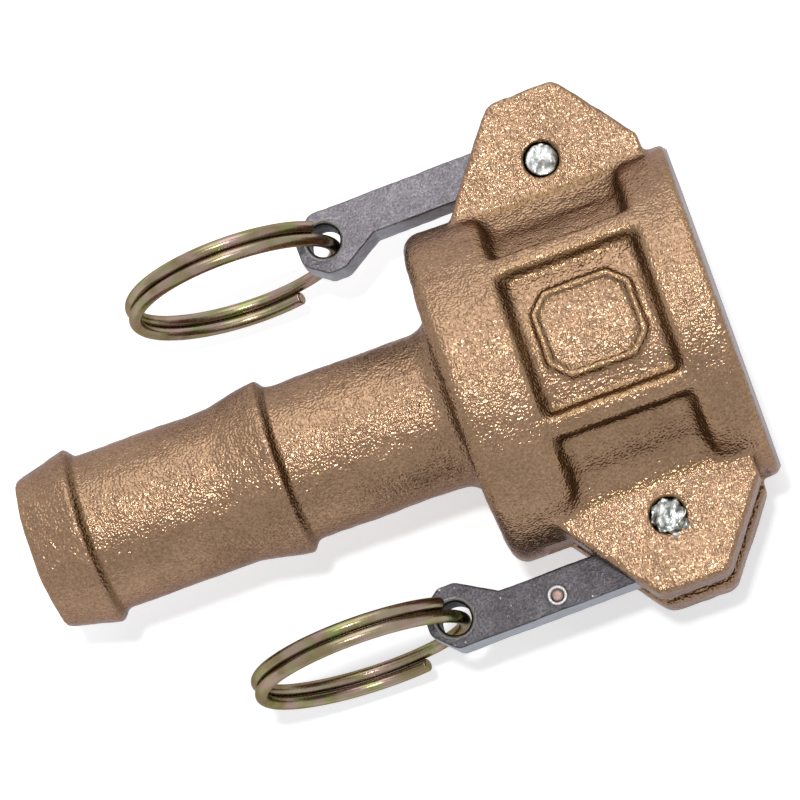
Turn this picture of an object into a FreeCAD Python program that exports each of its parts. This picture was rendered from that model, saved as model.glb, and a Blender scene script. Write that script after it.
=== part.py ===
import FreeCAD, Part
import math
import os

import Sketcher

# Camlock coupling, female cup with a hose tail, in millimetres.
# The origin is the centre of the mouth face. +X points along the bore out of the mouth,
# +Z runs along the two pivot pins, and the two cam arms lie at +Y and -Y.

SIZES = {
    # how far a cutting outline runs past the surface it cuts
    "cut_overrun": 1.0,
    # cup, measured back from the mouth face
    "cup_radius": 21.0,
    "cup_back_wall": 2.8,
    "cup_back_round": 2.0,
    "mouth_edge_chamfer": 0.7,
    "socket_radius": 16.25,
    "socket_depth": 25.6,
    "entry_relief": 0.2,
    "entry_depth": 7.0,
    "lead_in": 0.9,
    # sealing ring in its groove, and the waterway behind it
    "gasket_thickness": 5.6,
    "gasket_bite": 1.2,
    "gasket_width": 6.35,
    "gasket_edge_round": 0.5,
    "gasket_side_gap": 0.2,
    "waterway_radius": 7.5,
    "waterway_mouth_radius": 9.0,
    "waterway_cone_length": 2.5,
    # hose tail with two barbs
    "tail_length": 54.0,
    "shank_radius": 9.8,
    "tail_end_taper": 0.4,
    "barb_rise": 1.3,
    "barb_ramp": 6.7,
    "barb_drop": 0.9,
    "barb_pitch": 24.8,
    "barb_crest_round": 0.4,
    "neck_round": 3.0,
    # ears that carry the pivot pins
    "ear_span": 17.6,
    "ear_over_pin": 8.75,
    "ear_top_back": 18.5,
    "ear_top_front": 10.0,
    "ear_root_depth": 9.0,
    "ear_back": 28.0,
    "ear_back_sink": 2.0,
    "ear_front": 2.7,
    "ear_front_rise": 1.0,
    "ear_corner_round": 2.2,
    "ear_edge_round": 0.5,
    # slot between the ears, and window through the cup wall
    "slot_width": 5.9,
    "slot_sink": 0.4,
    "slot_ahead_of_ears": 1.2,
    "slot_behind_ears": 2.0,
    "window_ahead_of_pin": 6.7,
    "window_behind_pin": 9.7,
    # cast pockets in the outside of the cup
    "pocket_front": 6.3,
    "pocket_back": 24.4,
    "pocket_wall_slant": 1.4,
    "label_pocket_depth": 2.0,
    "label_half_width": 9.1,
    "side_pocket_depth": 2.2,
    "ridge_half_width": 12.3,
    "ridge_bevel": 1.3,
    "pocket_edge_round": 0.6,
    "valley_rise": 1.9,
    "valley_run": 1.9,
    # plain raised eight-sided frame in the label pocket
    "frame_length": 12.4,
    "frame_width": 11.0,
    "frame_corner": 2.2,
    "frame_line": 0.7,
    "frame_height": 0.5,
    # pivot pins
    "pin_setback": 14.5,
    "pin_rise": 1.95,
    "pin_radius": 2.2,
    "pin_recess": 0.3,
    "pin_end_chamfer": 0.35,
    # cam arms, measured from the pin
    "arm_side_gap": 0.25,
    "arm_pin_gap": 0.05,
    "arm_rest_turn": 0.9,
    "arm_inner": 0.35,
    "arm_width": 5.0,
    "cam_radius": 7.2,
    "cam_throw": 2.2,
    "cam_lean": 35.0,
    "ring_hole_setback": 28.35,
    "ring_hole_offset": 1.65,
    "ring_hole_radius": 2.0,
    "ring_hole_chamfer": 0.5,
    "eye_beyond_hole": 3.45,
    "eye_shoulder": 6.05,
    "eye_reach": 1.4,
    "eye_drop": 2.85,
    "eye_nose_drop": 0.9,
    "eye_nose_cut": 2.7,
    "eye_corner_round": 1.4,
    "mark_setback": 15.85,
    "mark_offset": 3.4,
    "mark_radius": 1.15,
    "mark_dimple_radius": 0.8,
    "mark_height": 0.1,
    "mark_depth": 0.2,
    # split pull rings
    "ring_radius": 13.0,
    "ring_wire_radius": 0.8,
    "ring_coil_gap": 0.45,
    "ring_start_degrees": 298.0,
    "ring_end_degrees": 330.0,
    "ring_lean": 3.0,
    "ring_hole_play": 0.4,
    "upper_ring_drop": 0.6,
    "lower_ring_drop": 0.1,
}

# places that follow from the sizes above
CUP_LENGTH = "( socket_depth + gasket_thickness + cup_back_wall )"
GASKET_OUTER = "( socket_radius + gasket_bite )"
GASKET_INNER = "( socket_radius + gasket_bite - gasket_width )"
BARB_CREST = "( shank_radius + barb_rise )"
LABEL_FLOOR = "( cup_radius - label_pocket_depth )"
SIDE_FLOOR = "( cup_radius - side_pocket_depth )"
SLOT_FLOOR = "( cup_radius - slot_sink )"
PIN_OFFSET = "( cup_radius + pin_rise )"
EAR_TOP = "( cup_radius + pin_rise + ear_over_pin )"

# the arc that the label pocket takes up round the cup
LABEL_ANGLE = "2 * asin( label_half_width / cup_radius )"

# how closely an edge has to match the place it is looked for at, in millimetres
NEAR = 0.01

doc = FreeCAD.newDocument("camlock_coupling")


def make_sheet():
    cells = doc.addObject("Spreadsheet::Sheet", "sizes")
    for row, (name, number) in enumerate(SIZES.items(), start=1):
        cells.set("A%d" % row, name)
        cells.set("B%d" % row, str(number))
        cells.setAlias("B%d" % row, name)
    doc.recompute()
    return cells


sheet = make_sheet()


def size(text):
    """The number that a size, or a plain sum of sizes, comes to."""
    total = 0.0
    sign = 1
    for word in text.split():
        if word in ("+", "-"):
            sign = 1 if word == "+" else -1
        elif word in SIZES:
            total += sign * float(getattr(sheet, word))
    return total


def formula(text):
    """Turn plain size names into sheet references, so that formulas stay short."""
    words = []
    for word in text.split():
        words.append("sizes." + word if word in SIZES else word)
    return " ".join(words)


def bind(thing, prop, text):
    thing.setExpression(prop, formula(text))


def new_body(label):
    body = doc.addObject("PartDesign::Body", label)
    body.Label = label
    return body


def new_sketch(body, name, role):
    sketch = body.newObject("Sketcher::SketchObject", name)
    planes = [plane for plane in body.Origin.OriginFeatures if plane.Role == role]
    sketch.AttachmentSupport = [(planes[0], "")]
    sketch.MapMode = "FlatFace"
    return sketch


def bind_last(sketch, index, text):
    sketch.setExpression("Constraints[%d]" % index, formula(text))


def pin_down(sketch, curve, end, across, up):
    """Hold one point of a sketch curve at two bound distances from the origin."""
    for kind, text in (("DistanceX", across), ("DistanceY", up)):
        rule = Sketcher.Constraint(kind, -1, 1, curve, end, 1.0)
        bind_last(sketch, sketch.addConstraint(rule), text)


def draw_outline(sketch, corners):
    """Add a closed outline of straight lines, each corner bound to the sheet."""
    count = len(corners)
    start = len(sketch.Geometry)
    turn = 2 * math.pi / count
    spots = []
    for i in range(count):
        spots.append(FreeCAD.Vector(math.cos(i * turn), math.sin(i * turn), 0))
    for i in range(count):
        sketch.addGeometry(Part.LineSegment(spots[i], spots[(i + 1) % count]))
    for i in range(count):
        after = start + (i + 1) % count
        sketch.addConstraint(Sketcher.Constraint("Coincident", start + i, 2, after, 1))
        pin_down(sketch, start + i, 1, *corners[i])


def draw_circle(sketch, across, up, radius):
    circle = Part.Circle(FreeCAD.Vector(1, 1, 0), FreeCAD.Vector(0, 0, 1), 1.0)
    curve = sketch.addGeometry(circle)
    pin_down(sketch, curve, 3, across, up)
    bind_last(sketch, sketch.addConstraint(Sketcher.Constraint("Radius", curve, 1.0)), radius)


def revolve(body, kind, name, sketch, angle):
    """Turn a sketch about its own X axis, evenly to both sides of its plane."""
    feature = body.newObject("PartDesign::" + kind, name)
    feature.Profile = sketch
    feature.ReferenceAxis = (sketch, ["H_Axis"])
    feature.Midplane = True
    bind(feature, "Angle", angle)
    sketch.Visibility = False
    doc.recompute()
    return feature


def extrude(body, kind, name, sketch, length):
    """Pad or pocket a sketch evenly to both sides of its plane."""
    feature = body.newObject("PartDesign::" + kind, name)
    feature.Profile = sketch
    feature.SideType = "Symmetric"
    bind(feature, "Length", length)
    sketch.Visibility = False
    doc.recompute()
    return feature


def extrude_from(body, kind, name, sketch, start, length, backwards=False):
    """Pad or pocket a sketch one way, from a bound distance off its plane."""
    bind(sketch, "AttachmentOffset.Base.z", start)
    feature = body.newObject("PartDesign::" + kind, name)
    feature.Profile = sketch
    feature.Reversed = backwards
    bind(feature, "Length", length)
    sketch.Visibility = False
    doc.recompute()
    return feature


def dress(body, kind, name, prop, text, chosen):
    """Round or chamfer the edges of the body's tip that the test picks out."""
    base = body.Tip
    names = []
    for i, edge in enumerate(base.Shape.Edges, start=1):
        if not edge.Degenerated and chosen(edge):
            names.append("Edge%d" % i)
    if not names:
        raise ValueError("no edge for " + name)
    feature = body.newObject("PartDesign::" + kind, name)
    feature.Base = (base, names)
    bind(feature, prop, text)
    doc.recompute()
    return feature


def is_turned(edge, radius, along=None):
    """True for a circle about the bore with this radius, at this X if one is given."""
    if not isinstance(edge.Curve, Part.Circle):
        return False
    centre = edge.Curve.Center
    if 1 - abs(edge.Curve.Axis.x) > NEAR or math.hypot(centre.y, centre.z) > NEAR:
        return False
    if abs(edge.Curve.Radius - radius) > NEAR:
        return False
    return along is None or abs(centre.x - along) < NEAR


def is_upright(edge):
    """True for a straight edge along Z."""
    box = edge.BoundBox
    return isinstance(edge.Curve, Part.Line) and max(box.XLength, box.YLength) < NEAR


def at_both_sides(corners):
    """The same outline at +Y and mirrored at -Y."""
    mirrored = [(across, "0 - ( " + up + " )") for across, up in corners]
    return corners, mirrored


def outer_profile():
    """Corners of the turned outside, from the mouth to the end of the hose tail."""
    end = "0 - " + CUP_LENGTH + " - tail_length"
    first = end + " + barb_ramp"
    second = first + " + barb_pitch"
    return [
        ("0", "0"),
        ("0", "cup_radius - mouth_edge_chamfer"),
        ("0 - mouth_edge_chamfer", "cup_radius"),
        ("0 - " + CUP_LENGTH, "cup_radius"),
        ("0 - " + CUP_LENGTH, "shank_radius"),
        (second + " + barb_drop", "shank_radius"),
        (second, BARB_CREST),
        (end + " + barb_pitch", "shank_radius"),
        (first + " + barb_drop", "shank_radius"),
        (first, BARB_CREST),
        (end, "shank_radius - tail_end_taper"),
        (end, "0"),
    ]


def bore_profile():
    """Corners of the stepped bore, from past the end of the hose tail to past the mouth."""
    groove = GASKET_OUTER + " + gasket_side_gap"
    floor = "0 - socket_depth - gasket_thickness"
    end = "0 - " + CUP_LENGTH + " - tail_length - cut_overrun"
    entry = "socket_radius + entry_relief"
    return [
        (end, "0"),
        (end, "waterway_radius"),
        (floor + " - waterway_cone_length", "waterway_radius"),
        (floor, "waterway_mouth_radius"),
        (floor, groove),
        ("0 - socket_depth", groove),
        ("0 - socket_depth", "socket_radius"),
        ("0 - entry_depth", "socket_radius"),
        ("0 - entry_depth", entry),
        ("0 - lead_in", entry),
        ("cut_overrun", entry + " + lead_in + cut_overrun"),
        ("cut_overrun", "0"),
    ]


def turned_form(body):
    sketch = new_sketch(body, "turned_profile", "XY_Plane")
    draw_outline(sketch, outer_profile())
    revolve(body, "Revolution", "turned_form_solid", sketch, "360")
    back = -size(CUP_LENGTH)
    first = back - size("tail_length") + size("barb_ramp")
    second = first + size("barb_pitch")
    crest = size(BARB_CREST)
    dress(
        body, "Fillet", "barb_crests", "Radius", "barb_crest_round",
        lambda edge: is_turned(edge, crest, first) or is_turned(edge, crest, second),
    )
    dress(
        body, "Fillet", "neck_root", "Radius", "neck_round",
        lambda edge: is_turned(edge, size("shank_radius"), back),
    )
    dress(
        body, "Fillet", "cup_back_edge", "Radius", "cup_back_round",
        lambda edge: is_turned(edge, size("cup_radius"), back),
    )


def pocket_profile(floor):
    """Cross-section of a cast pocket: slanted end walls down to its floor."""
    above = "cup_radius + cut_overrun"
    flare = "pocket_wall_slant * ( " + above + " - " + floor + " ) / ( cup_radius - " + floor + " )"
    front = "0 - pocket_front - pocket_wall_slant"
    back = "0 - pocket_back + pocket_wall_slant"
    return [
        (front, floor),
        (front + " + " + flare, above),
        (back + " - " + flare, above),
        (back, floor),
    ]


def repeat_opposite(body, name, features):
    """Repeat features at the other side of the bore's axis."""
    pattern = body.newObject("PartDesign::PolarPattern", name)
    pattern.Originals = features
    axes = [axis for axis in body.Origin.OriginFeatures if axis.Role == "X_Axis"]
    pattern.Axis = (axes[0], [""])
    pattern.Angle = 360
    pattern.Occurrences = 2
    body.Tip = pattern
    doc.recompute()
    return pattern


def cast_pockets(body):
    """Two wide pockets round the sides of the cup, and a square one on top and bottom."""
    side_sketch = new_sketch(body, "side_pocket_profile", "XY_Plane")
    draw_outline(side_sketch, pocket_profile(SIDE_FLOOR))
    angle = "180 deg - 2 * asin( ridge_half_width / cup_radius )"
    side = revolve(body, "Groove", "side_pocket", side_sketch, angle)
    label_sketch = new_sketch(body, "label_pocket_profile", "XZ_Plane")
    draw_outline(label_sketch, pocket_profile(LABEL_FLOOR))
    label = revolve(body, "Groove", "label_pocket", label_sketch, LABEL_ANGLE)
    repeat_opposite(body, "cast_pockets", [side, label])
    dress(body, "Chamfer", "ridge_bevels", "Size", "ridge_bevel", is_ridge_edge)
    dress(body, "Fillet", "pocket_edges", "Radius", "pocket_edge_round", is_pocket_edge)


def is_ridge_edge(edge):
    """True for a straight edge along X where a side pocket's end wall meets the cup's outside."""
    box = edge.BoundBox
    if not isinstance(edge.Curve, Part.Line) or box.XLength < NEAR:
        return False
    at_rim = abs(math.hypot(box.Center.y, box.Center.z) - size("cup_radius")) < NEAR
    return at_rim and abs(abs(box.Center.y) - size("ridge_half_width")) < NEAR


def is_pocket_edge(edge):
    """True for an edge of a cast pocket, at its rim or round its floor."""
    box = edge.BoundBox
    return box.XMin > -size("pocket_back") - NEAR and box.XMax < -size("pocket_front") + NEAR


def eight_sided(half_length, half_width, corner):
    """Corners of a rectangle about the frame's centre with its four corners cut off."""
    middle = "0 - ( pocket_front + pocket_back ) / 2"
    corners = []
    for along, across in (("+", "+"), ("-", "+"), ("-", "-"), ("+", "-")):
        end = (
            middle + " %s ( " % along + half_length + " )",
            "0 %s ( " % across + half_width + " - " + corner + " )",
        )
        side = (
            middle + " %s ( " % along + half_length + " - " + corner + " )",
            "0 %s ( " % across + half_width + " )",
        )
        corners += [end, side] if along == across else [side, end]
    return corners


def raised_frames(body):
    """A plain eight-sided line that stands on the curved floor of each label pocket."""
    sketch = new_sketch(body, "frame_outlines", "XY_Plane")
    inside_wall = "( " + LABEL_FLOOR + " + socket_radius ) / 2"
    half = ("frame_length / 2", "frame_width / 2")
    inner = (half[0] + " - frame_line", half[1] + " - frame_line")
    draw_outline(sketch, eight_sided(*half, "frame_corner"))
    draw_outline(sketch, eight_sided(*inner, "( frame_corner - frame_line / 2 )"))
    length = "cup_radius - " + inside_wall
    frame = extrude_from(body, "Pad", "frame_walls", sketch, inside_wall, length)
    trim_sketch = new_sketch(body, "frame_top_profile", "XZ_Plane")
    top = LABEL_FLOOR + " + frame_height"
    middle = "0 - ( pocket_front + pocket_back ) / 2"
    above = "cup_radius + cut_overrun"
    corners = []
    for across, up in (("-", top), ("+", top), ("+", above), ("-", above)):
        corners.append((middle + " %s ( frame_length / 2 + frame_line / 2 )" % across, up))
    draw_outline(trim_sketch, corners)
    trim = revolve(body, "Groove", "frame_top", trim_sketch, LABEL_ANGLE)
    repeat_opposite(body, "raised_frames", [frame, trim])


def ears(body):
    corners = [
        ("0 - ear_back", "cup_radius - ear_root_depth"),
        ("0 - ear_back", "cup_radius - ear_back_sink"),
        ("0 - ear_top_back", EAR_TOP),
        ("0 - ear_top_front", EAR_TOP),
        ("0 - ear_front", "cup_radius + ear_front_rise"),
        ("0 - ear_front", "cup_radius - ear_root_depth"),
    ]
    sketch = new_sketch(body, "ear_outlines", "XY_Plane")
    for side in at_both_sides(corners):
        draw_outline(sketch, side)
    extrude(body, "Pad", "ear_blocks", sketch, "ear_span")
    top = size(EAR_TOP)
    dress(
        body, "Fillet", "ear_corners", "Radius", "ear_corner_round",
        lambda edge: is_upright(edge) and abs(abs(edge.CenterOfMass.y) - top) < NEAR,
    )
    dress(body, "Fillet", "ear_edges", "Radius", "ear_edge_round", is_ear_rim)


def is_ear_rim(edge):
    """True for an edge in an ear's outer face, clear of the cup."""
    box = edge.BoundBox
    half = size("ear_span") / 2
    flat = abs(box.ZLength) < NEAR and abs(abs(box.Center.z) - half) < NEAR
    return flat and abs(box.Center.y) > size("cup_radius")


def valley_fills(body):
    """A slope that leads from each ear's outer face down to the floor of the side pocket."""
    face = "ear_span / 2"
    foot = face + " + valley_run"
    corners = [
        (floor_edge(face) + " + valley_rise", face),
        (floor_edge(foot), foot),
        ("cup_radius - ear_root_depth", foot),
        ("cup_radius - ear_root_depth", face + " - cut_overrun"),
        (floor_edge(face) + " + valley_rise", face + " - cut_overrun"),
    ]
    opposite = [("0 - ( " + across + " )", up) for across, up in corners]
    sketch = new_sketch(body, "valley_outlines", "YZ_Plane")
    for outline in (*at_both_sides(corners), *at_both_sides(opposite)):
        draw_outline(sketch, outline)
    length = "pocket_back - pocket_front"
    extrude_from(body, "Pad", "valley_fills", sketch, "0 - pocket_back", length)


def floor_edge(height):
    """How far out the side pocket's floor lies at this height above the bore's axis."""
    return "sqrt( " + SIDE_FLOOR + " ^ 2 - ( " + height + " ) ^ 2 )"


def stepped_bore(body):
    sketch = new_sketch(body, "bore_profile", "XY_Plane")
    draw_outline(sketch, bore_profile())
    revolve(body, "Groove", "stepped_bore", sketch, "360")


def arm_slots(body):
    """The slot between each pair of ears, and the cam's window through the cup wall."""
    back = "0 - ear_back - slot_behind_ears"
    front = "0 - ear_front + slot_ahead_of_ears"
    window_back = "0 - pin_setback - window_behind_pin"
    window_front = "0 - pin_setback + window_ahead_of_pin"
    corners = [
        (back, SLOT_FLOOR),
        (window_back, SLOT_FLOOR),
        (window_back, "socket_radius / 2"),
        (window_front, "socket_radius / 2"),
        (window_front, SLOT_FLOOR),
        (front, SLOT_FLOOR),
        (front, EAR_TOP + " + cut_overrun"),
        (back, EAR_TOP + " + cut_overrun"),
    ]
    sketch = new_sketch(body, "slot_outlines", "XY_Plane")
    for side in at_both_sides(corners):
        draw_outline(sketch, side)
    extrude(body, "Pocket", "arm_slots", sketch, "slot_width")


def pin_holes(body):
    sketch = new_sketch(body, "pin_hole_circles", "XY_Plane")
    for up in (PIN_OFFSET, "0 - " + PIN_OFFSET):
        draw_circle(sketch, "0 - pin_setback", up, "pin_radius")
    extrude(body, "Pocket", "pin_holes", sketch, "ear_span + 2 * cut_overrun")


def make_coupler_body():
    body = new_body("coupler_body")
    turned_form(body)
    cast_pockets(body)
    raised_frames(body)
    ears(body)
    valley_fills(body)
    stepped_bore(body)
    arm_slots(body)
    pin_holes(body)
    return body


def make_gasket():
    """The sealing ring, flat against the groove's floor and its front wall."""
    body = new_body("gasket")
    sketch = new_sketch(body, "gasket_section", "XY_Plane")
    back = "0 - socket_depth - gasket_thickness"
    corners = [
        (back, GASKET_INNER),
        (back, GASKET_OUTER),
        ("0 - socket_depth", GASKET_OUTER),
        ("0 - socket_depth", GASKET_INNER),
    ]
    draw_outline(sketch, corners)
    revolve(body, "Revolution", "gasket_ring", sketch, "360")
    dress(
        body, "Fillet", "gasket_edges", "Radius", "gasket_edge_round",
        lambda edge: is_turned(edge, size(GASKET_INNER)) or is_turned(edge, size(GASKET_OUTER)),
    )
    return body


def rest_turn():
    """How far both arms lie turned about their pins, towards -Y at their eyes."""
    return FreeCAD.Rotation(FreeCAD.Vector(0, 0, 1), size("arm_rest_turn"))


def place_at_pin(body, side, turn=FreeCAD.Rotation()):
    """Put a piece drawn about its own pin at the +Y or the -Y pin."""
    over = FreeCAD.Rotation(FreeCAD.Vector(1, 0, 0), 0 if side > 0 else 180)
    body.Placement.Rotation = turn.multiply(over)
    bind(body, "Placement.Base.x", "0 - pin_setback")
    bind(body, "Placement.Base.y", "%d * " % side + PIN_OFFSET)


def make_pin(label, side):
    body = new_body(label)
    sketch = new_sketch(body, "pin_circle", "XY_Plane")
    draw_circle(sketch, "0", "0", "pin_radius")
    extrude(body, "Pad", "pin_shank", sketch, "ear_span - 2 * pin_recess")
    dress(
        body, "Chamfer", "pin_ends", "Size", "pin_end_chamfer",
        lambda edge: edge.BoundBox.ZLength < NEAR,
    )
    place_at_pin(body, side)
    return body


def arm_outline():
    """Corners of the arm's bar and eye, seen along the pin with the pin at the origin."""
    outer = "arm_inner + arm_width"
    nose = "0 - ring_hole_setback - eye_beyond_hole"
    return [
        ("0", outer),
        (nose + " + eye_nose_cut", outer),
        (nose, outer + " - eye_nose_cut"),
        (nose, "arm_inner - eye_nose_drop"),
        (nose + " + eye_nose_cut", "arm_inner - eye_drop"),
        ("0 - ring_hole_setback + eye_reach", "arm_inner - eye_drop"),
        ("0 - ring_hole_setback + eye_shoulder", "arm_inner"),
        ("0", "arm_inner"),
    ]


def witness_mark(body):
    """A small raised disc with a dimple. The arm turns over at its pin, so -Z becomes the top."""
    top = "slot_width / 2 - arm_side_gap + mark_height"
    for kind, name, radius, from_middle, length in (
        ("Pad", "mark_disc", "mark_radius", "0", top),
        ("Pocket", "mark_dimple", "mark_dimple_radius", "0 - ( " + top + " )", "mark_height + mark_depth"),
    ):
        sketch = new_sketch(body, name + "_circle", "XY_Plane")
        draw_circle(sketch, "0 - mark_setback", "mark_offset", radius)
        extrude_from(body, kind, name, sketch, from_middle, length, backwards=True)


def is_ring_hole_rim(edge):
    """True for either rim of the pull ring's hole, seen with the pin at the origin."""
    if not isinstance(edge.Curve, Part.Circle):
        return False
    same_radius = abs(edge.Curve.Radius - size("ring_hole_radius")) < NEAR
    return same_radius and abs(edge.Curve.Center.x + size("ring_hole_setback")) < NEAR


def make_arm(label, side):
    """One cam arm: a round cam off the pin's centre, a flat bar and an eye for the ring."""
    body = new_body(label)
    thickness = "slot_width - 2 * arm_side_gap"
    bar = new_sketch(body, "bar_outline", "XY_Plane")
    draw_outline(bar, arm_outline())
    extrude(body, "Pad", "arm_bar", bar, thickness)
    eye_start = -size("ring_hole_setback") + size("eye_reach")
    dress(
        body, "Fillet", "eye_corners", "Radius", "eye_corner_round",
        lambda edge: is_upright(edge) and edge.CenterOfMass.x < eye_start + NEAR,
    )
    cam = new_sketch(body, "cam_circle", "XY_Plane")
    across = "0 - cam_throw * sin( cam_lean * 1deg )"
    up = "0 - cam_throw * cos( cam_lean * 1deg )"
    draw_circle(cam, across, up, "cam_radius")
    extrude(body, "Pad", "cam", cam, thickness)
    holes = new_sketch(body, "hole_circles", "XY_Plane")
    draw_circle(holes, "0", "0", "pin_radius + arm_pin_gap")
    draw_circle(holes, "0 - ring_hole_setback", "ring_hole_offset", "ring_hole_radius")
    extrude(body, "Pocket", "holes", holes, "slot_width + 2 * cut_overrun")
    dress(body, "Chamfer", "ring_hole_rims", "Size", "ring_hole_chamfer", is_ring_hole_rim)
    if side < 0:
        witness_mark(body)
    place_at_pin(body, side, rest_turn())
    return body


def biarc(start, start_way, end, end_way):
    """Two arcs that run smoothly from one point and direction to another."""
    gap = end.sub(start)
    ways = start_way.add(end_way)
    spread = 2 * (1 - start_way.dot(end_way))
    along = gap.dot(ways)
    reach = (math.sqrt(along * along + spread * gap.dot(gap)) - along) / spread
    first = start.add(FreeCAD.Vector(start_way).multiply(reach))
    second = end.sub(FreeCAD.Vector(end_way).multiply(reach))
    joint = first.add(second).multiply(0.5)
    arcs = []
    for near, corner, far in ((start, first, joint), (joint, second, end)):
        middle = near.add(far).multiply(0.5)
        inward = corner.sub(middle)
        half_chord = near.distanceToPoint(far) / 2
        half_turn = math.atan2(inward.Length, half_chord)
        rise = half_chord * math.tan(half_turn / 2)
        inward.normalize()
        arcs.append(Part.Arc(near, middle.add(inward.multiply(rise)), far).toShape())
    return arcs


def ring_point(angle):
    """A point on the ring's wire and its direction, with the arm's hole at 0 degrees."""
    turn = math.radians(angle)
    radius = size("ring_radius")
    pitch = 2 * size("ring_wire_radius") + size("ring_coil_gap")
    spot = FreeCAD.Vector(
        radius * (math.cos(turn) - 1), -pitch * angle / 360, radius * math.sin(turn)
    )
    way = FreeCAD.Vector(
        radius * math.sin(turn), pitch / (2 * math.pi), -radius * math.cos(turn)
    )
    return spot, way.normalize()


def least_gap(path, wire_radius):
    """The least gap between one turn of a wire and the next, measured on points."""
    points = path.discretize(Distance=0.2)
    step = path.Length / (len(points) - 1)
    apart = int(3 * wire_radius * math.pi / step)
    least = None
    for i, point in enumerate(points):
        for other in points[i + apart:]:
            gap = point.distanceToPoint(other) - 2 * wire_radius
            if least is None or gap < least:
                least = gap
    return least


def ring_anchor(side):
    """The point where the ring's wire passes through the hole in its arm's eye."""
    setback = size("ring_hole_setback")
    offset = side * size("ring_hole_offset")
    hole = rest_turn().multVec(FreeCAD.Vector(-setback, offset, 0))
    play = size("ring_hole_radius") - size("ring_wire_radius") - size("ring_hole_play")
    drop = size("upper_ring_drop") if side > 0 else size("lower_ring_drop")
    pin = FreeCAD.Vector(-size("pin_setback"), side * size(PIN_OFFSET), 0)
    return pin.add(hole).add(FreeCAD.Vector(play, -drop, 0))


def make_ring(label, side):
    """A split ring: one wire wound nearly twice round, through the hole in its arm's eye."""
    first = size("ring_start_degrees")
    last = -size("ring_end_degrees")
    quarters = math.ceil((first - last) / 90)
    edges = []
    for i in range(quarters):
        start = first + (last - first) * i / quarters
        end = first + (last - first) * (i + 1) / quarters
        edges += biarc(*ring_point(start), *ring_point(end))
    path = Part.Wire(edges)
    wire_radius = size("ring_wire_radius")
    spot, way = ring_point(first)
    section = Part.Wire(Part.Circle(spot, way, wire_radius).toShape())
    ring = doc.addObject("Part::Feature", label)
    ring.Label = label
    ring.Shape = path.makePipeShell([section], True, False)
    ring.Placement.Rotation = FreeCAD.Rotation(FreeCAD.Vector(1, 0, 0), -size("ring_lean"))
    ring.Placement.Base = ring_anchor(side)
    print(label, "least gap", round(least_gap(path, wire_radius), 3))
    swept = math.pi * wire_radius ** 2 * path.Length
    print(label, "volume", round(ring.Shape.Volume, 2), "section times length", round(swept, 2))
    return ring


def check_and_write(pieces):
    doc.recompute()
    for thing in doc.Objects:
        if "Invalid" in thing.State or "Error" in thing.State:
            raise RuntimeError("failed: " + thing.Name)
    for piece in pieces:
        if piece.Shape.isNull() or not piece.Shape.isValid():
            raise RuntimeError("bad shape: " + piece.Label)
        solids = len(piece.Shape.Solids)
        print(piece.Label, "solids", solids, "volume", round(piece.Shape.Volume, 2))
    os.makedirs("parts", exist_ok=True)
    for piece in pieces:
        piece.Shape.exportStep("parts/%s.step" % piece.Label)


parts = [make_coupler_body(), make_gasket()]
for place, side in (("upper", 1), ("lower", -1)):
    parts.append(make_pin("pivot_pin_" + place, side))
    parts.append(make_arm("cam_arm_" + place, side))
    parts.append(make_ring("pull_ring_" + place, side))
check_and_write(parts)
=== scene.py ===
import math

import bpy
import numpy as np
from mathutils import Matrix, Vector


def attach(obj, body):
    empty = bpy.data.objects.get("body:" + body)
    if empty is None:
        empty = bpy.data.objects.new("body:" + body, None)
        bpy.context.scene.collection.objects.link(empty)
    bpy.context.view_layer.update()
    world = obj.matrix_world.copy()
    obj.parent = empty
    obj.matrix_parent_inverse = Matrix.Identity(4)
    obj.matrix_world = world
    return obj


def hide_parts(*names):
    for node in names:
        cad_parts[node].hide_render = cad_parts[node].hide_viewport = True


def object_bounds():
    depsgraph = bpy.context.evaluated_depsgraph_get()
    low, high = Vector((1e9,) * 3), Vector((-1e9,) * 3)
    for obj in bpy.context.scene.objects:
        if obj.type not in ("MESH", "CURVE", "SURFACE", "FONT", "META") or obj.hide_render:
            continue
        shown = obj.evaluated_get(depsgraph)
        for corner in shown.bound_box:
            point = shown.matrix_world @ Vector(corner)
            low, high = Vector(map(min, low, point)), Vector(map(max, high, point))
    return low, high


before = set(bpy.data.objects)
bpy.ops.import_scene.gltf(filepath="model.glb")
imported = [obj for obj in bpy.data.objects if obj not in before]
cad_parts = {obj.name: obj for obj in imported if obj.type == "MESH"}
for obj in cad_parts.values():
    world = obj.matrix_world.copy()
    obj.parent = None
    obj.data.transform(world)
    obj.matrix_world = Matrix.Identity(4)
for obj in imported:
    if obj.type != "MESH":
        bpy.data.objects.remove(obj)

# Camlock coupling, dressed. Metres, in the CAD frame: +X out of the mouth, +Y to the upper arm,
# +Z up from the floor towards the camera.

MM = 0.001
CAD_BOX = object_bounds()


# Camera: a pinhole fitted to the photograph's corners and outlines.
IMAGE_WIDTH = 800
CAMERA_DISTANCE = 600 * MM
CAMERA_TILT = math.radians(4.0)
CAMERA_ROLL = math.radians(11.6)
CAMERA_SPIN = math.radians(19.92)
CAMERA_FOCAL_PIXELS = 4950.0
CAMERA_AIM = Vector((-40.64, 2.85, 0)) * MM
CAMERA_NEAREST, CAMERA_FARTHEST = 0.01, 10
SENSOR_WIDTH = 36.0


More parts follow.
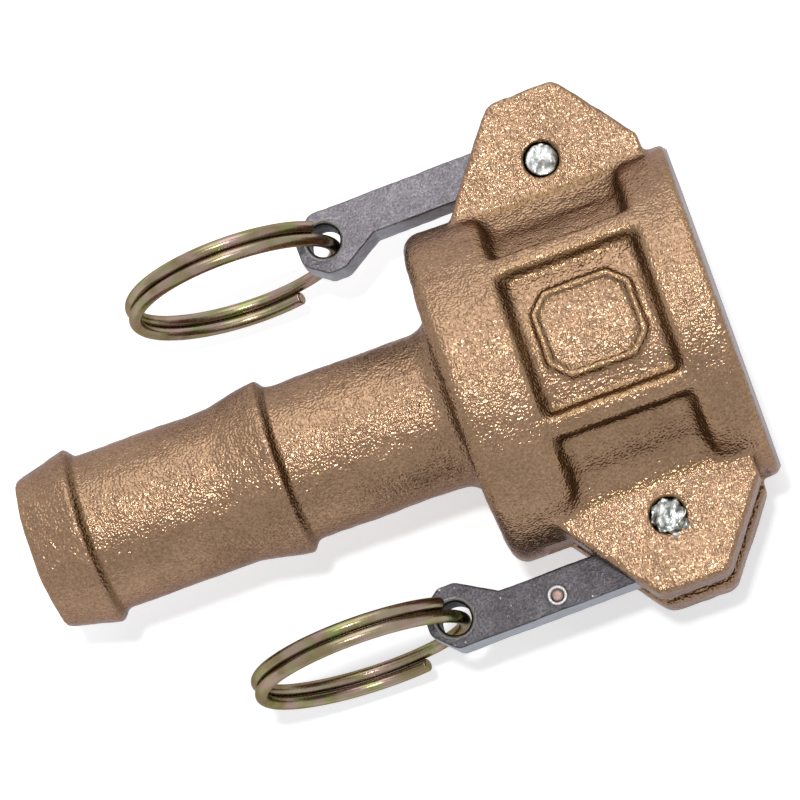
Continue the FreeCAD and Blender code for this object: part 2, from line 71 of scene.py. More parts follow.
def make_camera():
    data = bpy.data.cameras.new("camera")
    data.sensor_width = SENSOR_WIDTH
    data.lens = CAMERA_FOCAL_PIXELS * SENSOR_WIDTH / IMAGE_WIDTH
    data.clip_start, data.clip_end = CAMERA_NEAREST, CAMERA_FARTHEST
    camera = bpy.data.objects.new("camera", data)
    bpy.context.scene.collection.objects.link(camera)
    back = Vector((math.sin(CAMERA_TILT), -math.sin(CAMERA_ROLL), 0))
    back.z = math.sqrt(1 - back.length_squared)
    level = (Vector((1, 0, 0)) - back * back.x).normalized()
    upward = back.cross(level)
    right = level * math.cos(CAMERA_SPIN) - upward * math.sin(CAMERA_SPIN)
    up = level * math.sin(CAMERA_SPIN) + upward * math.cos(CAMERA_SPIN)
    turn = Matrix((right, up, back)).transposed().to_4x4()
    camera.matrix_world = Matrix.Translation(CAMERA_AIM + back * CAMERA_DISTANCE) @ turn
    bpy.context.scene.camera = camera


# Parts of a noise's values that are spread from 0 to 1: the narrower, the crisper its patches.
BROAD = (0.30, 0.70)
SOFT = (0.35, 0.65)
SPECKLED = (0.36, 0.66)
CRISP = (0.38, 0.62)


class Nodes:
    """A material's node tree, with short calls to add and join nodes."""

    def __init__(self, name):
        self.material = bpy.data.materials.new(name)
        self.material.use_nodes = True
        self.tree = self.material.node_tree
        self.shader = self.tree.nodes["Principled BSDF"]
        self.place = self.add("ShaderNodeTexCoord").outputs["Object"]

    def add(self, kind, **settings):
        node = self.tree.nodes.new(kind)
        for key, value in settings.items():
            setattr(node, key, value)
        return node

    def join(self, value, socket):
        """Feed a socket from another node's output, or set it to a plain value."""
        if isinstance(value, bpy.types.NodeSocket):
            self.tree.links.new(value, socket)
        else:
            socket.default_value = value

    def join_color(self, color, socket):
        self.join(color if isinstance(color, bpy.types.NodeSocket) else (*color, 1), socket)

    def noise(self, grain, detail=3.0, rough=0.55):
        """Noise whose blobs are about one grain across, in metres."""
        node = self.add("ShaderNodeTexNoise")
        self.join(self.place, node.inputs["Vector"])
        node.inputs["Scale"].default_value = 1 / grain
        node.inputs["Detail"].default_value = detail
        node.inputs["Roughness"].default_value = rough
        return node.outputs["Fac"]

    def cells(self, grain):
        """How far each place is from the middle of its cell. Cells are about one grain across."""
        node = self.add("ShaderNodeTexVoronoi")
        self.join(self.place, node.inputs["Vector"])
        node.inputs["Scale"].default_value = 1 / grain
        return node.outputs["Distance"]

    def span(self, value, low, high, to_low=0.0, to_high=1.0):
        """Spread the values from low to high over those from to_low to to_high."""
        node = self.add("ShaderNodeMapRange")
        self.join(value, node.inputs["Value"])
        limits = {"From Min": low, "From Max": high, "To Min": to_low, "To Max": to_high}
        for name, number in limits.items():
            node.inputs[name].default_value = number
        return node.outputs["Result"]

    def calculate(self, operation, first, second):
        node = self.add("ShaderNodeMath", operation=operation)
        self.join(first, node.inputs[0])
        self.join(second, node.inputs[1])
        return node.outputs["Value"]

    def plus(self, first, second):
        return self.calculate("ADD", first, second)

    def times(self, first, second):
        return self.calculate("MULTIPLY", first, second)

    def mix(self, share, first, second, blend="MIX"):
        node = self.add("ShaderNodeMix", data_type="RGBA", blend_type=blend)
        self.join(share, node.inputs["Factor"])
        self.join_color(first, node.inputs[6])
        self.join_color(second, node.inputs[7])
        return node.outputs[2]

    def mark(self, name):
        """A number stored on the mesh's points."""
        return self.add("ShaderNodeAttribute", attribute_name=name).outputs["Fac"]

    def patches(self, first, second, grain, detail=3.0, spread=SOFT):
        """Two colours in patches about one grain across."""
        return self.mix(self.span(self.noise(grain, detail), *spread), first, second)

    def specks(self, tone, dark, light, grain):
        """The tone in fine specks, from its dark share to its light one."""
        darker = self.mix(1.0, tone, dark, "MULTIPLY")
        lighter = self.mix(1.0, tone, light, "MULTIPLY")
        speck = self.span(self.noise(grain, rough=0.7), *SPECKLED)
        return self.mix(speck, darker, lighter)

    def uneven(self, low, high, grain=0.5 * MM):
        """A number that wanders from low to high."""
        return self.span(self.noise(grain), *BROAD, low, high)

    def bump(self, height, distance, strength=1.0):
        node = self.add("ShaderNodeBump")
        self.join(height, node.inputs["Height"])
        node.inputs["Distance"].default_value = distance
        node.inputs["Strength"].default_value = strength
        return node.outputs["Normal"]

    def finish(self, color, rough, normal, metallic=1.0, edge=(1, 1, 1)):
        """Fill the shader. The edge colour tints what the surface mirrors at a glancing angle."""
        self.join_color(color, self.shader.inputs["Base Color"])
        self.join_color(edge, self.shader.inputs["Specular Tint"])
        self.join(rough, self.shader.inputs["Roughness"])
        self.join(normal, self.shader.inputs["Normal"])
        self.shader.inputs["Metallic"].default_value = metallic
        return self.material


# Colours of the materials. A shade and a shine are the shares of a tone in its darkest and
# lightest specks, and an edge is what the surface mirrors at a glancing angle.
BRONZE_BROWN, BRONZE_TAN = (0.262, 0.165, 0.103), (0.305, 0.194, 0.122)
BRONZE_SHADE, BRONZE_SHINE = (0.74, 0.71, 0.66), (1.18, 1.19, 1.22)
# Painted highlight: a lighter gold on the casting's ridges and crests.
BRONZE_PAINTED_HIGHLIGHT = (0.34, 0.212, 0.095)
# Painted shade for the bronze's hollows, pocket walls, the gaps round the pins and the faces behind
# the barbs' crests.
BRONZE_PAINTED_SHADE = (0.125, 0.074, 0.026)
BRONZE_MACHINED = (0.36, 0.33, 0.325)
BRONZE_EDGE = (0.54, 0.49, 0.51)
ARM_TONES = {
    "upper": ((0.130, 0.122, 0.133), (0.166, 0.157, 0.169)),
    "lower": ((0.062, 0.058, 0.062), (0.085, 0.080, 0.085)),
}
ARM_SHADE, ARM_SHINE = (0.66, 0.65, 0.67), (1.3, 1.3, 1.3)
ARM_NICK = (0.75, 0.74, 0.76)
ARM_WEAR_AND_PAINTED_LIGHT = {
    # The side colour is a painted reflection on the arm's narrow sides.
    "side": (0.40, 0.41, 0.44),
    "worn": (0.42, 0.41, 0.41),
    "dimple": (0.24, 0.165, 0.14),
    # Painted shade on the wall of the eye's hole.
    "inside": (0.03, 0.028, 0.028),
}
ARM_EDGE = (0.78, 0.80, 0.86)
PIN_TONES = {
    "upper": ((0.29, 0.295, 0.285), (0.58, 0.59, 0.58)),
    "lower": ((0.13, 0.135, 0.13), (0.46, 0.47, 0.45)),
}
PIN_GAP_PAINTED_SHADE = (0.05, 0.045, 0.04)
RING_BROWN, RING_STRAW = (0.215, 0.170, 0.095), (0.300, 0.250, 0.175)
RING_GREEN = (0.215, 0.245, 0.095)
RING_PINK = (0.320, 0.225, 0.195)
RING_EDGE = (0.45, 0.40, 0.34)
RUBBER_BLACK, RUBBER_GREY = (0.022, 0.022, 0.023), (0.040, 0.039, 0.038)

FAINTEST_MARK = 0.15
PAINTED_HIGHLIGHT_SHARE = 0.45
PAINTED_SHADE_SHARE = 0.75
MACHINED_ROUGHER = 0.10
MACHINED_GRAIN = 0.06
ARM_NICKS = {"upper": 0.35, "lower": 0.9}


def bronze_material():
    """Sand-cast bronze: grainy and dull, with painted shade in its hollows, painted highlights on its
    crests, and pale where the mouth was machined.
    """
    n = Nodes("cast_bronze")
    machined = n.mark("machined")
    tone = n.patches(BRONZE_BROWN, BRONZE_TAN, grain=6 * MM)
    tone = n.specks(tone, BRONZE_SHADE, BRONZE_SHINE, grain=0.34 * MM)
    # Painted highlight on the ridges that the crest mark picks out.
    crest = n.span(n.mark("crest"), FAINTEST_MARK, 1.0, 0.0, PAINTED_HIGHLIGHT_SHARE)
    # Painted shade: darkens the concave places, pocket walls and gaps that the mask marks.
    hollow = n.span(n.mark("hollow"), FAINTEST_MARK, 1.0, 0.0, PAINTED_SHADE_SHARE)
    tone = n.mix(crest, tone, BRONZE_PAINTED_HIGHLIGHT)
    tone = n.mix(hollow, tone, BRONZE_PAINTED_SHADE)
    tone = n.mix(machined, tone, BRONZE_MACHINED)
    rough = n.plus(n.uneven(0.20, 0.30), n.span(machined, 0, 1, 0, MACHINED_ROUGHER))
    coarse = n.times(n.noise(1.1 * MM, detail=1.0), 0.6)
    grain = n.plus(n.noise(0.29 * MM, detail=0.0), coarse)
    cast = n.times(grain, n.span(machined, 0, 1, 1, MACHINED_GRAIN))
    return n.finish(tone, rough, n.bump(cast, 0.125 * MM), metallic=0.95, edge=BRONZE_EDGE)


def arm_material(side):
    """Satin cast steel with a fine grain and a few small bright nicks."""
    n = Nodes("arm_steel_" + side)
    tone = n.patches(*ARM_TONES[side], grain=3.5 * MM)
    tone = n.specks(tone, ARM_SHADE, ARM_SHINE, grain=0.3 * MM)
    nick = n.span(n.cells(1.5 * MM), 0.03, 0.13, 1.0, 0.0)
    nick = n.times(nick, n.span(n.noise(0.5 * MM), 0.45, 0.58))
    nick = n.times(nick, ARM_NICKS[side])
    tone = n.mix(nick, tone, ARM_NICK)
    # Among these marks are painted light: a painted reflection on the narrow sides and painted shade
    # on the eye hole's wall.
    for name, color in ARM_WEAR_AND_PAINTED_LIGHT.items():
        share = n.times(n.mark(name), 0.7) if name == "side" else n.mark(name)
        tone = n.mix(share, tone, color)
    height = n.calculate("SUBTRACT", n.noise(0.3 * MM, detail=1.0), nick)
    rough = n.uneven(0.42, 0.56, grain=0.8 * MM)
    return n.finish(tone, rough, n.bump(height, 0.07 * MM, strength=0.9), edge=ARM_EDGE)


def pin_material(side):
    """Bright steel, bruised by the hammer."""
    n = Nodes("pin_steel_" + side)
    tone = n.patches(*PIN_TONES[side], grain=0.7 * MM, detail=1.0, spread=CRISP)
    # Painted shade on the neck, down in the gap round the pin.
    tone = n.mix(n.mark("shade"), tone, PIN_GAP_PAINTED_SHADE)
    bruises = n.bump(n.noise(0.5 * MM, detail=2.0), 0.10 * MM, strength=0.8)
    return n.finish(tone, n.uneven(0.26, 0.42), bruises)


def ring_material():
    """Yellow zinc coat on spring steel, with faint patches of olive, green and pink."""
    n = Nodes("ring_steel")
    tone = n.patches(RING_BROWN, RING_STRAW, grain=4 * MM, detail=1.0, spread=CRISP)
    green = n.span(n.noise(2.6 * MM, detail=1.0), 0.50, 0.66, 0.0, 0.8)
    tone = n.mix(green, tone, RING_GREEN)
    pink = n.span(n.noise(3.1 * MM, detail=1.0), 0.48, 0.62, 0.0, 0.9)
    tone = n.mix(pink, tone, RING_PINK)
    normal = n.bump(n.noise(0.4 * MM), 0.02 * MM, strength=0.6)
    return n.finish(tone, n.uneven(0.20, 0.32), normal, edge=RING_EDGE)


def rubber_material():
    n = Nodes("seal_rubber")
    tone = n.patches(RUBBER_BLACK, RUBBER_GREY, grain=2 * MM)
    normal = n.bump(n.noise(0.25 * MM), 0.04 * MM, strength=0.5)
    return n.finish(tone, n.uneven(0.5, 0.68), normal, metallic=0.0)


def new_piece(name, mesh, body, material, nodes):
    piece = bpy.data.objects.new(name, mesh)
    bpy.context.scene.collection.objects.link(piece)
    mesh.materials.clear()
    mesh.materials.append(material)
    mesh.polygons.foreach_set("use_smooth", [True] * len(mesh.polygons))
    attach(piece, body)
    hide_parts(*nodes)


def read_vectors(items, name):
    flat = np.empty(len(items) * 3)
    items.foreach_get(name, flat)
    return flat.reshape(-1, 3)


def points_of(mesh):
    return read_vectors(mesh.vertices, "co")


def normals_of(mesh):
    return read_vectors(mesh.vertices, "normal")


def set_points(mesh, points):
    mesh.vertices.foreach_set("co", points.ravel())
    mesh.update()


def store(mesh, **marks):
    """Keep numbers on the mesh's points for its material to read."""
    for name, values in marks.items():
        layer = mesh.attributes.new(name, "FLOAT", "POINT")
        layer.data.foreach_set("value", values.astype(np.float32))


def new_mesh(name, points, faces):
    mesh = bpy.data.meshes.new(name)
    mesh.from_pydata([tuple(point) for point in points], [], faces)
    mesh.update()
    return mesh


def remeshed(node, voxel):
    """A copy of a CAD node's mesh, rebuilt from even little squares."""
    copy = bpy.data.objects.new("remesh_source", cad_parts[node].data.copy())
    bpy.context.scene.collection.objects.link(copy)
    change = copy.modifiers.new("voxels", "REMESH")
    change.mode = "VOXEL"
    change.voxel_size = voxel
    graph = bpy.context.evaluated_depsgraph_get()
    mesh = bpy.data.meshes.new_from_object(copy.evaluated_get(graph))
    bpy.data.objects.remove(copy)
    return mesh


class Smoother:
    """Evens out a mesh's points towards the middle of their neighbours."""

    def __init__(self, mesh):
        pairs = np.empty(len(mesh.edges) * 2, dtype=np.int64)
        mesh.edges.foreach_get("vertices", pairs)
        pairs = pairs.reshape(-1, 2)
        self.count = len(mesh.vertices)
        self.near = np.concatenate((pairs[:, 0], pairs[:, 1]))
        self.far = np.concatenate((pairs[:, 1], pairs[:, 0]))
        self.degree = np.maximum(np.bincount(self.near, minlength=self.count), 1)

    def average(self, values):
        total = [
            np.bincount(self.near, weights=column[self.far], minlength=self.count)
            for column in values.T
        ]
        return np.stack(total, axis=1) / self.degree[:, None]

    def smooth(self, values, rounds, weight):
        for _ in range(rounds):
            values = values + (self.average(values) - values) * weight
        return values


def step(value, low, high):
    """0 below low, 1 above high, and smooth between."""
    share = np.clip((value - low) / (high - low), 0, 1)
    return share * share * (3 - 2 * share)


def within(value, low, high, blur):
    """1 between low and high, 0 outside them, and smooth over the blur."""
    return step(value, low - blur, low) * (1 - step(value, high, high + blur))


def lumps(points, size, seed):
    """Smooth random heights between -1 and 1 with bumps of about this size."""
    random = np.random.default_rng(seed)
    total = np.zeros(len(points))
    waves = 14
    for _ in range(waves):
        way = random.normal(size=3)
        way /= np.linalg.norm(way)
        pace = random.uniform(0.7, 1.4)
        shift = random.uniform(0, 6.3)
        total += np.sin(points @ way * (2 * math.pi / size) * pace + shift)
    return total / math.sqrt(waves)


# Sizes of the casting that its finish follows, as in the CAD model.
CUP_RADIUS = 21 * MM
BORE_RADIUS = 17.7 * MM
SOCKET_END = -31.2 * MM
SLOT_HALF_WIDTH = 2.95 * MM
SLOT_START = 19 * MM
POCKET_FRONT = -6.3 * MM
POCKET_BACK = -24.4 * MM
POCKET_MIDDLE = (POCKET_FRONT + POCKET_BACK) / 2
POCKET_FLOOR, POCKET_TOP = 18.2 * MM, 20.8 * MM
FRAME_HALF_LENGTH, FRAME_HALF_WIDTH = 6.6 * MM, 5.9 * MM
FRAME_HEIGHT = 17 * MM
VALLEY_Y = (15.5 * MM, 19 * MM)
VALLEY_Z = (7.5 * MM, 10.5 * MM)
TAIL_START = -37 * MM
BARB_FOOT = 10.2 * MM
BARB_CRESTS = (-81.3 * MM, -56.5 * MM)
BARB_DROP = 0.9 * MM
PIN_X = -14.5 * MM
PIN_Y = 22.95 * MM
PIN_RADIUS = 2.2 * MM

# How the casting is softened and roughened.
CASTING_VOXEL = 0.25 * MM
EDGE_ROUNDS = 12
VALLEY_ROUNDS = 30
FULL_BEND = 0.12 * MM
GRIT_SEED = 7
GRIT_SPREAD = 0.45
BLUR = 0.3 * MM


def machined_marks(x, across):
    """The socket's bore and the flat rim of the mouth."""
    in_bore = (1 - step(across, BORE_RADIUS, BORE_RADIUS + BLUR))
    in_bore *= step(x, SOCKET_END - 0.2 * MM, SOCKET_END)
    at_mouth = step(x, -0.5 * MM, -0.3 * MM) * (1 - step(across, CUP_RADIUS, CUP_RADIUS + BLUR))
    return np.maximum(in_bore, at_mouth)


def crisp_marks(x, y, z, across, on_ear):
    """The forms that keep more of their edges: ears, raised frames and barbs."""
    reach = FRAME_HALF_LENGTH
    on_frame = within(x, POCKET_MIDDLE - reach, POCKET_MIDDLE + reach, 0.4 * MM)
    on_frame *= within(y, -FRAME_HALF_WIDTH, FRAME_HALF_WIDTH, 0.4 * MM)
    on_frame *= step(np.abs(z), FRAME_HEIGHT, FRAME_HEIGHT + 0.5 * MM)
    on_barb = 1 - step(x, TAIL_START - 1 * MM, TAIL_START)
    on_barb *= step(across, BARB_FOOT, BARB_FOOT + BLUR)
    return np.maximum.reduce((0.7 * on_ear, 0.8 * on_frame, 0.7 * on_barb))


def barb_marks(x, start, end, blur):
    """A stretch behind each barb's crest, from start to end."""
    return sum(within(x, crest + start, crest + end, blur) for crest in BARB_CRESTS)


def make_casting(material):
    """The body with the soft edges, lumps and hollows of a sand casting."""
    mesh = remeshed("coupler_body", CASTING_VOXEL)
    points = points_of(mesh)
    smoother = Smoother(mesh)
    x, y, z = points.T
    across = np.hypot(y, z)
    machined = machined_marks(x, across)
    in_slot = 1 - step(np.abs(z), SLOT_HALF_WIDTH, SLOT_HALF_WIDTH + 0.5 * MM)
    in_slot *= step(np.abs(y), SLOT_START, SLOT_START + 1 * MM)
    cast = (1 - machined) * (1 - 0.6 * in_slot)

    on_ear = step(np.abs(y), CUP_RADIUS + 0.2 * MM, CUP_RADIUS + 1.2 * MM)
    crisp = crisp_marks(x, y, z, across, on_ear)
    soft = smoother.smooth(points, EDGE_ROUNDS, (0.5 * cast * (1 - crisp))[:, None])
    valley = within(np.abs(y), *VALLEY_Y, 1.5 * MM) * within(np.abs(z), *VALLEY_Z, 1.2 * MM)
    valley *= within(x, POCKET_BACK - 2.5 * MM, POCKET_FRONT + 2 * MM, 1.5 * MM)
    soft = smoother.smooth(soft, VALLEY_ROUNDS, (0.5 * cast * valley)[:, None])
    set_points(mesh, soft)

    normals = normals_of(mesh)
    blurred = smoother.smooth(soft, 12, 0.6)
    bend = np.einsum("ij,ij->i", blurred - soft, normals) / FULL_BEND
    bend = smoother.smooth(bend[:, None], 2, 0.5)[:, 0]
    outward = (soft[:, 1] * normals[:, 1] + soft[:, 2] * normals[:, 2]) / np.maximum(across, MM)
    in_pocket = within(x, POCKET_BACK, POCKET_FRONT, 0.4 * MM)
    in_pocket *= within(across, POCKET_FLOOR, POCKET_TOP, BLUR)
    # Painted shade: the pocket walls, the gap round each pin, the face behind each barb's crest and
    # the concave places are marked to be painted darker.
    wall = in_pocket * step(1 - outward, 0.06, 0.35) * (1 - on_ear)
    from_pin = np.hypot(x - PIN_X, np.abs(y) - PIN_Y) - PIN_RADIUS
    pin_gap = 1 - step(from_pin, 0.05 * MM, 0.2 * MM)
    drop = barb_marks(x, 0.35 * MM, BARB_DROP, 0.15 * MM)
    near_barb = barb_marks(x, -1.5 * MM, 2.5 * MM, BLUR)
    hollow = np.maximum.reduce((bend * (1 - near_barb), 0.7 * wall, pin_gap, 0.75 * drop))
    # Painted highlight: the convex ridges are marked to be painted a lighter gold.
    crest = np.clip(-bend, 0, 1) * (1 - on_ear) * (1 - machined) * (1 - 0.8 * near_barb)

    grit = np.random.default_rng(GRIT_SEED).normal(size=(len(points), 1))
    grit = smoother.smooth(grit, 2, 0.7)[:, 0] / GRIT_SPREAD
    height = 0.05 * MM * lumps(soft, 9 * MM, 1) + 0.025 * MM * lumps(soft, 2.2 * MM, 2)
    height += 0.012 * MM * grit
    set_points(mesh, soft + normals * (height * cast)[:, None])
    store(mesh, hollow=hollow, crest=crest, machined=machined)
    new_piece("casting", mesh, "coupler", material, ["coupler_body"])


# The eye's hole in each arm, and the small raised dot on the lower one.
ARM_VOXEL = 0.13 * MM
EYE_HOLE = {"upper": (-42.87, 24.15), "lower": (-42.82, -25.05)}
EYE_HOLE_RADIUS = 2.0 * MM
DOT = (-30.3, -26.6)
ARM_FACE = 2.2 * MM


def make_arm(side, material):
    """An arm with a bright ring round its eye's hole, narrow sides painted lighter as a painted
    reflection, and painted shade on the hole's wall.
    """
    mesh = remeshed("cam_arm_" + side, ARM_VOXEL)
    smoother = Smoother(mesh)
    points = smoother.smooth(points_of(mesh), 3, 0.5)
    set_points(mesh, points)
    normals = normals_of(mesh)
    x, y, z = points.T
    from_hole = np.hypot(x - EYE_HOLE[side][0] * MM, y - EYE_HOLE[side][1] * MM) - EYE_HOLE_RADIUS
    worn = 0.9 * within(from_hole, 0.28 * MM, 0.48 * MM, 0.1 * MM)
    dimple = np.zeros(len(points))
    if side == "lower":
        from_dot = np.hypot(x - DOT[0] * MM, y - DOT[1] * MM)
        on_top = step(z, ARM_FACE, ARM_FACE + 0.2 * MM)
        dimple = on_top * (1 - step(from_dot, 0.6 * MM, 0.75 * MM))
        worn = np.maximum(worn, within(from_dot, 0.85 * MM, 1.1 * MM, 0.12 * MM) * on_top)
    # Painted shade: the wall of the eye's hole is marked to be painted nearly black.
    inside = 1 - step(from_hole, 0.12 * MM, 0.3 * MM)
    # Painted reflection: the arm's narrow sides are marked to be painted lighter.
    edge = 1 - step(np.abs(normals[:, 2]), 0.3, 0.7)
    store(mesh, worn=worn, inside=inside, side=edge, dimple=dimple)
    height = 0.03 * MM * lumps(points, 6 * MM, 3) + 0.014 * MM * lumps(points, 1.4 * MM, 4)
    set_points(mesh, points + normals * height[:, None])
    new_piece("arm_" + side, mesh, side + "_arm", material, ["cam_arm_" + side])


# Split rings, as in the CAD model, but with their coils touching.
RING_RADIUS = 13.0 * MM
WIRE_RADIUS = 0.8 * MM
WIRE_SIDES = 28
WIRE_POINTS = 420
COIL_PITCH = 1.64 * MM
WIRE_BEFORE_HOLE = 298.0
WIRE_AFTER_HOLE = 330.0
RING_LEAN = math.radians(3.0)
RING_ANCHOR = {"upper": (-42.0724, 23.5545, 0), "lower": (-42.0206, -25.1451, 0)}

# The wire's rounded ends: hoops in each, and their bulge and least size as shares of its radius.
END_HOOPS = 4
END_BULGE = 0.3
END_SIZE = 0.45


def tube_mesh(name, path, ways, radius):
    """A closed tube with slightly rounded ends along the points of a path."""
    hoops = [(spot, way, radius) for spot, way in zip(path, ways)]
    for i in reversed(range(END_HOOPS)):
        turn = (i + 1) / (END_HOOPS + 1) * math.pi / 2
        size = radius * (END_SIZE + (1 - END_SIZE) * math.sin(turn))
        bulge = radius * END_BULGE * math.cos(turn)
        hoops.insert(0, (path[0] - ways[0] * bulge, ways[0], size))
        hoops.append((path[-1] + ways[-1] * bulge, ways[-1], size))
    points, faces = [], []
    for spot, way, size in hoops:
        side = np.cross(way, (0.0, 1.0, 0.0))
        side /= np.linalg.norm(side)
        up = np.cross(side, way)
        for k in range(WIRE_SIDES):
            turn = 2 * math.pi * k / WIRE_SIDES
            points.append(spot + (side * math.cos(turn) + up * math.sin(turn)) * size)
    for i in range(len(hoops) - 1):
        for k in range(WIRE_SIDES):
            a, b = i * WIRE_SIDES + k, i * WIRE_SIDES + (k + 1) % WIRE_SIDES
            faces.append((a, b, b + WIRE_SIDES, a + WIRE_SIDES))
    faces.append(tuple(range(WIRE_SIDES))[::-1])
    faces.append(tuple((len(hoops) - 1) * WIRE_SIDES + k for k in range(WIRE_SIDES)))
    return new_mesh(name, points, faces)


def make_ring(side, material):
    """One wire wound nearly twice round, leaning a little as it lies."""
    angles = np.linspace(WIRE_BEFORE_HOLE, -WIRE_AFTER_HOLE, WIRE_POINTS)
    turns = np.radians(angles)
    along = RING_RADIUS * (np.cos(turns) - 1)
    lane = -COIL_PITCH * angles / 360
    rise = RING_RADIUS * np.sin(turns)
    lean, lift = math.sin(RING_LEAN), math.cos(RING_LEAN)
    spots = np.stack((along, lane * lift + rise * lean, rise * lift - lane * lean), axis=1)
    spots += np.array(RING_ANCHOR[side]) * MM
    ways = np.gradient(spots, axis=0)
    ways /= np.linalg.norm(ways, axis=1)[:, None]
    mesh = tube_mesh("ring_" + side, spots, ways, WIRE_RADIUS)
    new_piece("ring_" + side, mesh, side + "_ring", material, ["pull_ring_" + side])


# Pins: the ends are hammered, and stand in their holes with a gap round them, where each neck gets
# painted shade.
PIN_HALF_LENGTH = 8.5 * MM
PIN_EDGE = PIN_HALF_LENGTH - 0.25 * MM
PIN_NECK_START = 7.3 * MM
PIN_SIDES = 96
PIN_RINGS_ON_HEAD = 14
PIN_HEAD_RADIUS = {"upper": 1.98 * MM, "lower": 2.10 * MM}
PIN_TEETH = 8
PIN_POINTS = {"upper": 0.0, "lower": 0.075}
PIN_HEAD_SHIFT = {"upper": 0.0, "lower": 0.08 * MM}
PIN_SEED = {"upper": 11, "lower": 12}
BURR_WAY = math.radians(-64)
BURR_LENGTH = 0.70 * MM
BURR_HEIGHT = 0.42 * MM


def pin_levels(head):
    """Height and radius of each ring of points, from one head's middle to the other's."""
    rings = PIN_RINGS_ON_HEAD
    half = [(PIN_HALF_LENGTH, head * (i + 0.5) / rings * 0.93) for i in range(rings)]
    half += [(PIN_HALF_LENGTH - 0.04 * MM, head * 0.985), (PIN_EDGE, head), (PIN_NECK_START, head)]
    half += [(PIN_NECK_START - 0.3 * MM, PIN_RADIUS), (2 * MM, PIN_RADIUS)]
    return half + [(-height, radius) for height, radius in reversed(half)]


def make_pin(side, material):
    """A rod between two hammered heads. The lower one's heads are star-shaped, with a burr."""
    head = PIN_HEAD_RADIUS[side]
    levels = pin_levels(head)
    turns = np.arange(PIN_SIDES) * 2 * math.pi / PIN_SIDES
    saw = np.abs(((turns * PIN_TEETH / (2 * math.pi)) % 1) * 2 - 1)
    teeth = PIN_POINTS[side] * (saw * 2 - 1)
    points = []
    for height, radius in levels:
        on_head = 1 if abs(height) > PIN_NECK_START - 0.1 * MM else 0
        reach = radius * (1 + teeth * on_head * step(radius / head, 0.3, 0.9))
        if side == "lower" and abs(height) > PIN_EDGE - 0.01 * MM:
            toward = step(np.cos(turns - BURR_WAY), 0.72, 0.98)
            reach = reach + toward * BURR_LENGTH * step(radius / head, 0.7, 1.0)
        shift = PIN_HEAD_SHIFT[side] * on_head
        along = reach * np.cos(turns) + shift * math.cos(BURR_WAY)
        up = reach * np.sin(turns) + shift * math.sin(BURR_WAY)
        points.append(np.stack((along, up, np.full(PIN_SIDES, height)), axis=1))
    points = np.concatenate(points)
    at_end = step(np.abs(points[:, 2]), PIN_EDGE - 0.1 * MM, PIN_HALF_LENGTH)
    from_axis = np.hypot(points[:, 0], points[:, 1])
    dents = lumps(points, 1.9 * MM, PIN_SEED[side]) * 0.13 * MM
    dents = dents - 0.12 * MM * step(from_axis / head, 0.6, 1.0)
    if side == "lower":
        dents = dents + BURR_HEIGHT * step(from_axis, 1.95 * MM, 2.3 * MM)
    points[:, 2] += np.sign(points[:, 2]) * at_end * dents
    faces = []
    for i in range(len(levels) - 1):
        for k in range(PIN_SIDES):
            a, b = i * PIN_SIDES + k, i * PIN_SIDES + (k + 1) % PIN_SIDES
            faces.append((a, a + PIN_SIDES, b + PIN_SIDES, b))
    faces.append(tuple(range(PIN_SIDES)))
    faces.append(tuple((len(levels) - 1) * PIN_SIDES + k for k in range(PIN_SIDES))[::-1])
    middle = np.array((PIN_X, PIN_Y if side == "upper" else -PIN_Y, 0))
    mesh = new_mesh("pin_" + side, points + middle, faces)
    # Painted shade: the neck below each head, in the gap round the pin, is marked to be painted dark.
    shade = 1 - step(np.abs(points[:, 2]), PIN_EDGE - 0.35 * MM, PIN_EDGE - 0.05 * MM)
    store(mesh, shade=shade)
    new_piece("pin_" + side, mesh, "coupler", material, ["pivot_pin_" + side])


FLOOR_SIZE = 4.0
FLOOR_GLOW = 0.5
FLOOR_COLOR = (0.86, 0.86, 0.87)
SKY_COLOR = (0.92, 0.95, 1.0, 1)
SKY_STRENGTH = 0.45
WHITE = (1, 1, 1, 1)


def seen_ray(tree):
    """1 where the camera looks, straight or through a mirror or glass, and 0 for mere lighting."""
    path = tree.nodes.new("ShaderNodeLightPath")
    seen = path.outputs["Is Camera Ray"]
    for name in ("Is Glossy Ray", "Is Transmission Ray"):
        either = tree.nodes.new("ShaderNodeMath")
        either.operation = "MAXIMUM"
        tree.links.new(seen, either.inputs[0])
        tree.links.new(path.outputs[name], either.inputs[1])
        seen = either.outputs["Value"]
    return seen


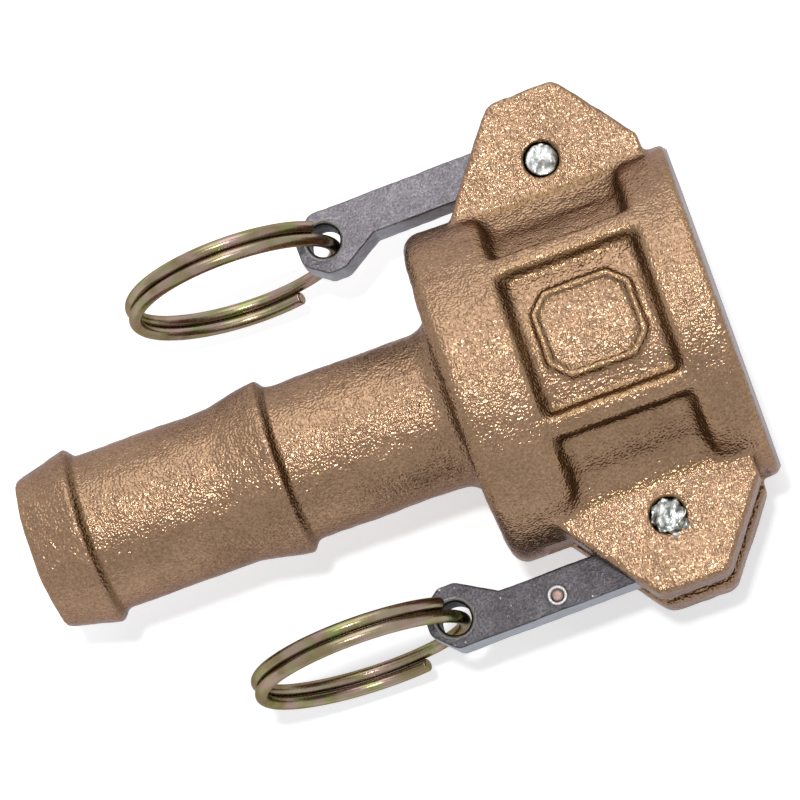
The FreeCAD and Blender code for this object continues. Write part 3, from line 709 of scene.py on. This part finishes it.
def make_floor():
    """A plain white floor that keeps the shadow but shows white where nothing shades it."""
    half, level = FLOOR_SIZE / 2, CAD_BOX[0].z
    corners = [(-half, -half, level), (half, -half, level), (half, half, level), (-half, half, level)]
    mesh = new_mesh("floor", corners, [(0, 1, 2, 3)])
    floor = bpy.data.objects.new("floor", mesh)
    bpy.context.scene.collection.objects.link(floor)
    n = Nodes("floor")
    n.finish(FLOOR_COLOR, 0.9, n.bump(n.noise(3 * MM), 0.01 * MM, strength=0.1), metallic=0.0)
    n.join(WHITE, n.shader.inputs["Emission Color"])
    n.join(n.times(seen_ray(n.tree), FLOOR_GLOW), n.shader.inputs["Emission Strength"])
    mesh.materials.append(n.material)


def make_world():
    """A soft bluish light all round, seen as plain white."""
    world = bpy.data.worlds.new("studio")
    bpy.context.scene.world = world
    world.use_nodes = True
    tree = world.node_tree
    light = tree.nodes["Background"]
    light.inputs["Color"].default_value = SKY_COLOR
    light.inputs["Strength"].default_value = SKY_STRENGTH
    seen = tree.nodes.new("ShaderNodeBackground")
    seen.inputs["Color"].default_value = WHITE
    seen.inputs["Strength"].default_value = 1.0
    mix = tree.nodes.new("ShaderNodeMixShader")
    tree.links.new(seen_ray(tree), mix.inputs["Fac"])
    tree.links.new(light.outputs["Background"], mix.inputs[1])
    tree.links.new(seen.outputs["Background"], mix.inputs[2])
    tree.links.new(mix.outputs["Shader"], tree.nodes["World Output"].inputs["Surface"])


# Each lamp's place and width in metres and its power in watts. All aim at the coupling.
LAMP_AIM = Vector((-0.04, 0.0, 0.0))
LAMPS = {"key": ((-0.02, -0.03, 0.85), 0.05, 2.7), "side": ((0.0, 0.60, 0.60), 0.75, 2.7)}


def make_lamp(name, place, width, power):
    data = bpy.data.lights.new(name, "AREA")
    data.shape = "DISK"
    data.size = width
    data.energy = power
    lamp = bpy.data.objects.new(name, data)
    bpy.context.scene.collection.objects.link(lamp)
    lamp.location = Vector(place)
    lamp.rotation_euler = (LAMP_AIM - lamp.location).to_track_quat("-Z", "Y").to_euler()


make_camera()
bpy.context.scene.view_settings.view_transform = "Standard"
make_world()
for lamp_name, settings in LAMPS.items():
    make_lamp(lamp_name, *settings)
make_floor()

make_casting(bronze_material())
for side in ("upper", "lower"):
    make_arm(side, arm_material(side))
ring_steel = ring_material()
for side in ("upper", "lower"):
    make_pin(side, pin_material(side))
    make_ring(side, ring_steel)
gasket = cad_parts["gasket"]
gasket.data.materials.clear()
gasket.data.materials.append(rubber_material())
